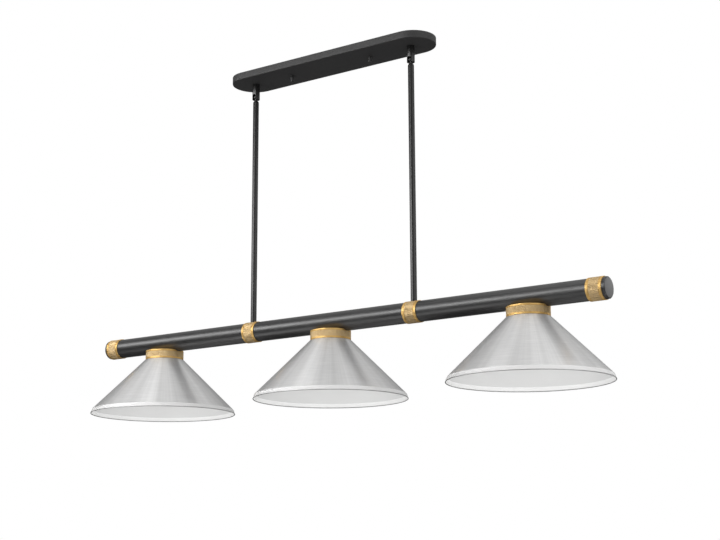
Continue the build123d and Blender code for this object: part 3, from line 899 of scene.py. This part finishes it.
collar = turn("knurled_collar_middle", collar_axis, UP, section, collar_steps, rounds)
reach = 2 * collar_radius
saddle = [(-reach, 0), (-reach, seat_radius), (reach, seat_radius), (reach, 0)]
cut(collar, turn("saddle", collar_axis, ALONG, saddle, BAR_STEPS))
press_knurl(collar, collar_axis, UP, knurl_top, knurl_foot, collar_radius)
coat(collar, brass)
fit_lamps(collar, "rubbed_brass", "collar")

# %% [markdown]
# A shade is spun from sheet into a straight cone with a short, steeper lip. At the rim the sheet is
# rolled into a thin bead, which is drawn as an arc. The section goes down the outside, round the bead
# and back up the inside.

# %% Shades
SHADE_WALL = 1.0
SHADE_TOP_RADIUS = 46.6
SHADE_TOP_ROUND = 2.4
LIP_HEIGHT = 10.0
LIP_FLARE = 3.2
LIP_ROUND = 1.2
BEAD = 0.9
BEAD_ARC_STEPS = 12
SHADE_STEPS = 384
shade_radius = size("shade_middle").y / 2
shade_rim, shade_top = heights("shade_middle")
shade_axis = Vector((middle("shade_middle").x, 0, bar_middle.z))
cone_radius = shade_radius - LIP_FLARE
cone_foot = shade_rim + LIP_HEIGHT
cone_slope = math.atan2(shade_top - cone_foot, cone_radius - SHADE_TOP_RADIUS)
level_wall = SHADE_WALL / math.sin(cone_slope)
inner_top = shade_top - SHADE_WALL
inner_top_radius = SHADE_TOP_RADIUS + SHADE_WALL / math.tan(cone_slope) - level_wall
inner_foot = cone_foot - SHADE_WALL / 3
inner_radius = cone_radius - SHADE_WALL
bead_from = math.acos(SHADE_WALL / 2 / BEAD)
bead_turn = SPIN - (math.pi - 2 * bead_from)
section = [(shade_top, NIPPLE_HOLE), (shade_top, SHADE_TOP_RADIUS), (cone_foot, cone_radius)]
for angle in evenly(bead_from, bead_from - bead_turn, BEAD_ARC_STEPS):
    height = shade_rim + BEAD + BEAD * math.sin(angle)
    section.append((height, shade_radius - BEAD + BEAD * math.cos(angle)))
section += [(inner_foot, inner_radius), (inner_top, inner_top_radius), (inner_top, NIPPLE_HOLE)]
section.append(section[0])
rounds = [
    ((shade_top, SHADE_TOP_RADIUS), SHADE_TOP_ROUND), ((cone_foot, cone_radius), LIP_ROUND),
    ((inner_foot, inner_radius), LIP_ROUND),
]
shade = turn("shade_middle_spun", shade_axis, UP, section, SHADE_STEPS, rounds)
print("shade radius", shade_radius, "mm, cone at", math.degrees(cone_slope), "degrees")

# %% [markdown]
# Five finishes share the mesh of a shade: brushed metal on the cone, hazy metal on the lip, white
# inside with painted shade, a whiter white inside the lip with painted light, and bare metal on the
# bead, whose darker colour paints a shaded line. Each face gets the number of its finish by its height
# and by its side. It is an inside face when its normal points to the axis or down.

# %% Finishes of a shade
CONE, LIP, INSIDE, LIP_INSIDE, RIM = range(5)
FACES_AXIS = -0.2
FACES_DOWN = -0.5
for finish in (nickel, polished_lip, white_enamel, lip_enamel, rim_nickel):
    shade.data.materials.append(finish)
lip_line = bar_middle.z + cone_foot * MM
bead_line = bar_middle.z + (shade_rim + 2 * BEAD) * MM
for polygon in shade.data.polygons:
    outwards = ((polygon.center - shade_axis) * Vector((1, 1, 0))).normalized()
    inside = polygon.normal.dot(outwards) < FACES_AXIS or polygon.normal.z < FACES_DOWN
    if polygon.center.z < bead_line:
        polygon.material_index = RIM
    elif polygon.center.z < lip_line:
        polygon.material_index = LIP_INSIDE if inside else LIP
    else:
        polygon.material_index = INSIDE if inside else CONE
smooth(shade)
bead_faces = sum(polygon.material_index == RIM for polygon in shade.data.polygons)
print("the bead has", bead_faces, "of", len(shade.data.polygons), "faces")

# %% [markdown]
# The three shades are alike, so the first is copied. Their finishes need to know how each shade
# turned. Every point stores its direction from the axis and its height in the attribute called turned.

# %% Copy the shades and store their turning
def store_turning(piece, axis_point):
    """Stores each point's direction from the axis and its height, for the brushed finish."""
    values = []
    for vertex in piece.data.vertices:
        offset = vertex.co - axis_point
        distance = max(math.hypot(offset.x, offset.y), WELD)
        values += [offset.x / distance, offset.y / distance, offset.z]
    turned = piece.data.attributes.new("turned", "FLOAT_VECTOR", "POINT")
    turned.data.foreach_set("vector", values)


shades = {"middle": shade}
for lamp, shift in lamp_shift.items():
    shades[lamp] = copy_to(shade, f"shade_{lamp}_spun", shift)
for lamp, piece in shades.items():
    store_turning(piece, Vector((middle(f"shade_{lamp}").x, 0, bar_middle.z)))
    fit(piece, "hanging", "brushed_nickel", f"shade_{lamp}")

# %% [markdown]
# Inside each shade hangs a glazed porcelain socket. Its section is turned like the other pieces. The
# five corners from its top to its bore get wide soft rounds, because glaze runs off sharp corners.

# %% Socket bodies
NIPPLE_SEAT = 5.05
SHOULDER_RADIUS = 12.0
SHOULDER_HEIGHT = 10.0
SOCKET_BORE = 14.3
SOCKET_ROOF = 9.0
SOCKET_STEPS = 72
GLAZE_ROUNDS = (1.2, 1.5, 3.0, 2.0, 1.0)
socket_radius = size("socket_body_middle").x / 2
socket_mouth, socket_top = heights("socket_body_middle")
shell_mouth, socket_floor = heights("screw_shell_middle")
socket_neck = socket_top - SHOULDER_HEIGHT / 2
socket_shoulder = socket_top - SHOULDER_HEIGHT
socket_roof = socket_top - SOCKET_ROOF
section = [
    (socket_top, NIPPLE_SEAT), (socket_top, SHOULDER_RADIUS), (socket_neck, SHOULDER_RADIUS),
    (socket_shoulder, socket_radius), (socket_mouth, socket_radius), (socket_mouth, SOCKET_BORE),
    (socket_floor, SOCKET_BORE), (socket_floor, 0), (socket_roof, 0), (socket_roof, NIPPLE_SEAT),
]
section.append(section[0])
rounds = zip(section[1:6], GLAZE_ROUNDS)
socket = turn("socket_middle", shade_axis, UP, section, SOCKET_STEPS, rounds)
coat(socket, porcelain)
fit_lamps(socket, "porcelain", "socket_body")

# %% [markdown]
# The brass shell in the socket has a thread rolled into its thin wall. One wave of the wall is drawn
# and a Screw modifier winds it up. Two bisects cut the winding level, Solidify gives it the thickness
# of the sheet, and a turned floor and rim are joined on.

# %% Screw shells
THREAD_PITCH = 3.6
THREAD_SLACK = 0.02
WAVE_STEPS = 12
SHEET_HALF = 0.15
SHELL_INNER = 13.2
SHELL_EYE = 6.5
SHELL_FLOOR = 0.9
SHELL_RIM = 1.2
SHELL_RIM_ROUND = 0.35
shell_outer = size("screw_shell_middle").x / 2
thread_middle = (shell_outer + SHELL_INNER) / 2
thread_swing = (shell_outer - SHELL_INNER) / 2 - SHEET_HALF - THREAD_SLACK
thread_start = shell_mouth - THREAD_PITCH
wave = []
for share in evenly(0, 1, WAVE_STEPS):
    radius = thread_middle + thread_swing * math.cos(SPIN * share)
    wave.append(Vector((radius, 0, thread_start + THREAD_PITCH * share)) * MM)
shell = draw_section("screw_shell_middle_rolled", wave)
turns = math.ceil((socket_floor - thread_start) / THREAD_PITCH) + 1
apply_modifier(
    shell, "SCREW", axis="Z", angle=SPIN, screw_offset=THREAD_PITCH * MM, iterations=turns,
    steps=SMALL_STEPS, render_steps=SMALL_STEPS, use_merge_vertices=True, merge_threshold=WELD)
bpy.ops.object.mode_set(mode="EDIT")
for level, side in ((shell_mouth + SHELL_RIM / 2, -1), (socket_floor - SHELL_FLOOR / 2, 1)):
    bpy.ops.mesh.select_all(action="SELECT")
    bpy.ops.mesh.bisect(plane_co=(0, 0, level * MM), plane_no=(0, 0, side), clear_outer=True)
bpy.ops.object.mode_set(mode="OBJECT")
apply_modifier(shell, "SOLIDIFY", thickness=2 * SHEET_HALF * MM, offset=0)
bpy.ops.transform.translate(value=shade_axis)
bpy.ops.object.transform_apply()
print("thread wound in", turns, "turns")

# %% [markdown]
# The floor of the shell is a flat ring with an eye for the centre contact, and its mouth has a
# rounded rim. Both are turned and then joined to the thread, so that the shell is one piece.

# %% Floor and rim of the screw shells
floor_radius = shell_outer - SEAT_SLACK
floor_foot = socket_floor - SHELL_FLOOR
floor_section = [
    (socket_floor, SHELL_EYE), (socket_floor, floor_radius), (floor_foot, floor_radius),
    (floor_foot, SHELL_EYE), (socket_floor, SHELL_EYE),
]
shell_floor = turn("shell_floor", shade_axis, UP, floor_section, SMALL_STEPS)
rim_top = shell_mouth + SHELL_RIM
rim_section = [
    (shell_mouth, SHELL_INNER), (shell_mouth, shell_outer), (rim_top, shell_outer),
    (rim_top, SHELL_INNER), (shell_mouth, SHELL_INNER),
]
rim_rounds = [
    ((shell_mouth, SHELL_INNER), SHELL_RIM_ROUND), ((shell_mouth, shell_outer), SHELL_RIM_ROUND),
]
shell_rim = turn("shell_rim", shade_axis, UP, rim_section, SMALL_STEPS, rim_rounds)
make_active(shell)
shell_floor.select_set(True)
shell_rim.select_set(True)
bpy.ops.object.join()
coat(shell, contact_brass)
fit_lamps(shell, "contact_brass", "screw_shell")

# %% [markdown]
# The studio is plain. The camera sees a white background. Reflections see a simple room instead:
# bright overhead, grey round the horizon, dim below, and darker in front than behind, so that black
# paint stays black. Diffuse surfaces get a broad fill, a little weaker from above. The Light Path node
# tells these rays apart.

# %% World
WHITE = (1, 1, 1, 1)
ROOM_TONES = {-1.0: 0.04, -0.6: 0.06, 0.0: 0.15, 0.35: 0.18, 0.65: 0.48, 0.85: 0.92, 1.0: 0.95}
FRONT_TO_BACK = {-0.35: 0.32, 0.1: 1.0}
FILL_TONES = {-1.0: 1.0, 0.1: 1.0, 0.5: 0.6, 1.0: 0.6}
world = bpy.data.worlds.new("studio")
bpy.context.scene.world = world
world.use_nodes = True
world.node_tree.nodes.clear()
heading = add(world, "ShaderNodeTexCoord").outputs["Generated"]
split = add(world, "ShaderNodeSeparateXYZ", {"Vector": heading})


def tones_along(axis, tones):
    """Grey tones by direction, from -1 against an axis to 1 along it."""
    share = add(world, "ShaderNodeMapRange", {"Value": split.outputs[axis], "From Min": -1})
    ramp = add(world, "ShaderNodeValToRGB", {"Fac": share.outputs["Result"]})
    stops = ramp.color_ramp.elements
    while len(stops) < len(tones):
        stops.new(0.5)
    for stop, (place, tone) in zip(stops, sorted(tones.items())):
        stop.position = (place + 1) / 2
        stop.color = (tone, tone, tone, 1)
    return ramp.outputs["Color"]


def mix(first, second, factor, blend_type="MIX"):
    """Mixes two colours."""
    sockets = {MIX_FACTOR: factor, MIX_FIRST: first, MIX_SECOND: second}
    mixer = add(world, "ShaderNodeMix", sockets, data_type="RGBA", blend_type=blend_type)
    return mixer.outputs[MIX_COLOUR]


def either(first, second):
    """The larger of two values: 1 when a ray is of one kind or of the other."""
    return add(world, "ShaderNodeMath", {0: first, 1: second}, operation="MAXIMUM").outputs["Value"]


def background(colour):
    """Even light of a colour."""
    return add(world, "ShaderNodeBackground", {"Color": colour}).outputs["Background"]


ray = add(world, "ShaderNodeLightPath").outputs
room = mix(tones_along("Z", ROOM_TONES), tones_along("Y", FRONT_TO_BACK), 1, "MULTIPLY")
shown = background(mix(room, WHITE, ray["Is Camera Ray"]))
fill = background(tones_along("Z", FILL_TONES))
seen = either(ray["Is Camera Ray"], ray["Is Glossy Ray"])
seen_through = either(seen, ray["Is Transmission Ray"])
chooser = add(world, "ShaderNodeMixShader", {"Fac": seen_through, 1: fill, 2: shown})
add(world, "ShaderNodeOutputWorld", {"Surface": chooser.outputs["Shader"]})
print("the world is made of", len(world.node_tree.nodes), "nodes")

# %% [markdown]
# Large soft lamps stand round the light, as in a studio. Each is a rectangle that faces the middle of
# the light. The wide key lamp works on reflections alone. The white insides of the shades don't see it,
# because they would clip when the light is swung. The tall strip draws the streak on the rods.

# %% Lamps
def direction(azimuth, elevation):
    """The direction towards a place. Azimuth 0 is the front, at -Y, and 90 is at +X."""
    turn_by = math.radians(azimuth)
    rise = math.radians(elevation)
    level = math.cos(rise)
    return Vector((math.sin(turn_by) * level, -math.cos(turn_by) * level, math.sin(rise)))


aim = Vector((0, 0, (cad_box[0][2] + cad_box[1][2]) / 2))


def softbox(name, azimuth, elevation, distance, width, height, brightness, for_gloss=False):
    """A soft rectangular lamp that faces the light. A lamp for gloss is left out of diffuse light."""
    towards = direction(azimuth, elevation)
    lamp = bpy.data.lights.new(name, "AREA")
    lamp.shape = "RECTANGLE"
    lamp.size = width
    lamp.size_y = height
    lamp.energy = brightness * math.pi * width * height
    holder = bpy.data.objects.new(name, lamp)
    bpy.context.scene.collection.objects.link(holder)
    holder.location = aim + towards * distance
    holder.rotation_euler = (-towards).to_track_quat("-Z", "Y").to_euler()
    holder.visible_camera = False
    holder.visible_diffuse = not for_gloss
    print(name, "shines with", round(lamp.energy), "watts")


softbox("key", -36, 13, 1.9, 2.2, 0.6, 6.8, for_gloss=True)
softbox("top", -50, 66, 3.0, 0.9, 0.8, 1.7)
softbox("front", 48, 50, 3.6, 6.4, 1.5, 1.0)
softbox("strip", -5, 16, 3.0, 0.42, 2.0, 7.0)
softbox("front_low", 30, -10, 3.2, 2.0, 0.8, 0.8)
softbox("front_right", 68, 12, 3.2, 2.6, 1.2, 1.7)
softbox("right", 97, 15, 3.0, 1.0, 1.5, 1.8)
softbox("low_left", -38, -42, 2.6, 1.8, 0.8, 2.1)
softbox("low_right", 75, -40, 2.6, 1.6, 0.8, 2.2)
softbox("back_right", 145, 14, 3.2, 1.6, 1.4, 1.5)

# %% [markdown]
# A pale floor lies below the light and takes its soft shadow. It has a weak glow of its own that grows
# with distance, so that the floor fades towards white and has no hard horizon. Its underside is
# see-through, for views from below, and it doesn't block the low lamps.

# %% Floor
FLOOR_DROP = 1.7
FLOOR_WIDTH = 160
FLOOR = {"Roughness": 0.7, "Emission Color": WHITE}
FADE = {"From Min": 2.0, "From Max": 9.0, "To Min": 0.12, "To Max": 0.47}
bpy.ops.mesh.primitive_plane_add(size=FLOOR_WIDTH, location=(0, 0, -FLOOR_DROP))
floor_plane = bpy.context.object
floor_plane.name = "floor"
pale_floor, shader = new_finish("pale_floor", FLOOR)
where = own_coordinates(pale_floor)
pale = tint(pale_floor, grain(pale_floor, where, 3), (0.80, 0.80, 0.79), (0.84, 0.84, 0.83))
far = add(pale_floor, "ShaderNodeVectorMath", {"Vector": where}, operation="LENGTH").outputs["Value"]
fade = add(pale_floor, "ShaderNodeMapRange", {"Value": far, **FADE}, interpolation_type="SMOOTHSTEP")
feed(pale_floor, shader, {"Base Color": pale, "Emission Strength": fade.outputs["Result"]})
underside = add(pale_floor, "ShaderNodeNewGeometry").outputs["Backfacing"]
clear = add(pale_floor, "ShaderNodeBsdfTransparent").outputs["BSDF"]
sides = {"Fac": underside, 1: shader.outputs["BSDF"], 2: clear}
one_sided = add(pale_floor, "ShaderNodeMixShader", sides)
surface = pale_floor.node_tree.nodes["Material Output"]
feed(pale_floor, surface, {"Surface": one_sided.outputs["Shader"]})
floor_plane.data.materials.append(pale_floor)
floor_plane.visible_glossy = False
floor_plane.visible_diffuse = False
floor_plane.visible_shadow = False
print("the floor lies", FLOOR_DROP, "m below the ceiling")

# %% [markdown]
# The camera stands to the right of the light and a little below it, and looks up. Its angles and lens
# were found by fitting the ends of the bar, the rims and the canopy to the picture.

# %% Camera
AZIMUTH = 34.59
ELEVATION = -12.16
ROLL = math.radians(-0.268)
CAMERA_PLACE = Vector((1.8494, -2.56375, -1.18936))
SENSOR_WIDTH = 36
FOCAL_LENGTH = 70.79
lens = bpy.data.cameras.new("camera")
lens.sensor_fit = "HORIZONTAL"
lens.sensor_width = SENSOR_WIDTH
lens.lens = FOCAL_LENGTH
camera = bpy.data.objects.new("camera", lens)
bpy.context.scene.collection.objects.link(camera)
back = direction(AZIMUTH, ELEVATION)
right = Vector((math.cos(math.radians(AZIMUTH)), math.sin(math.radians(AZIMUTH)), 0))
upright = back.cross(right)
rolled_right = right * math.cos(ROLL) + upright * math.sin(ROLL)
rolled_up = upright * math.cos(ROLL) - right * math.sin(ROLL)
turned_to = Matrix((rolled_right, rolled_up, back)).transposed()
camera.matrix_world = Matrix.Translation(CAMERA_PLACE) @ turned_to.to_4x4()
bpy.context.scene.camera = camera
bpy.context.scene.view_settings.view_transform = "Standard"
print("camera at", CAMERA_PLACE, "with a lens of", lens.lens, "mm")
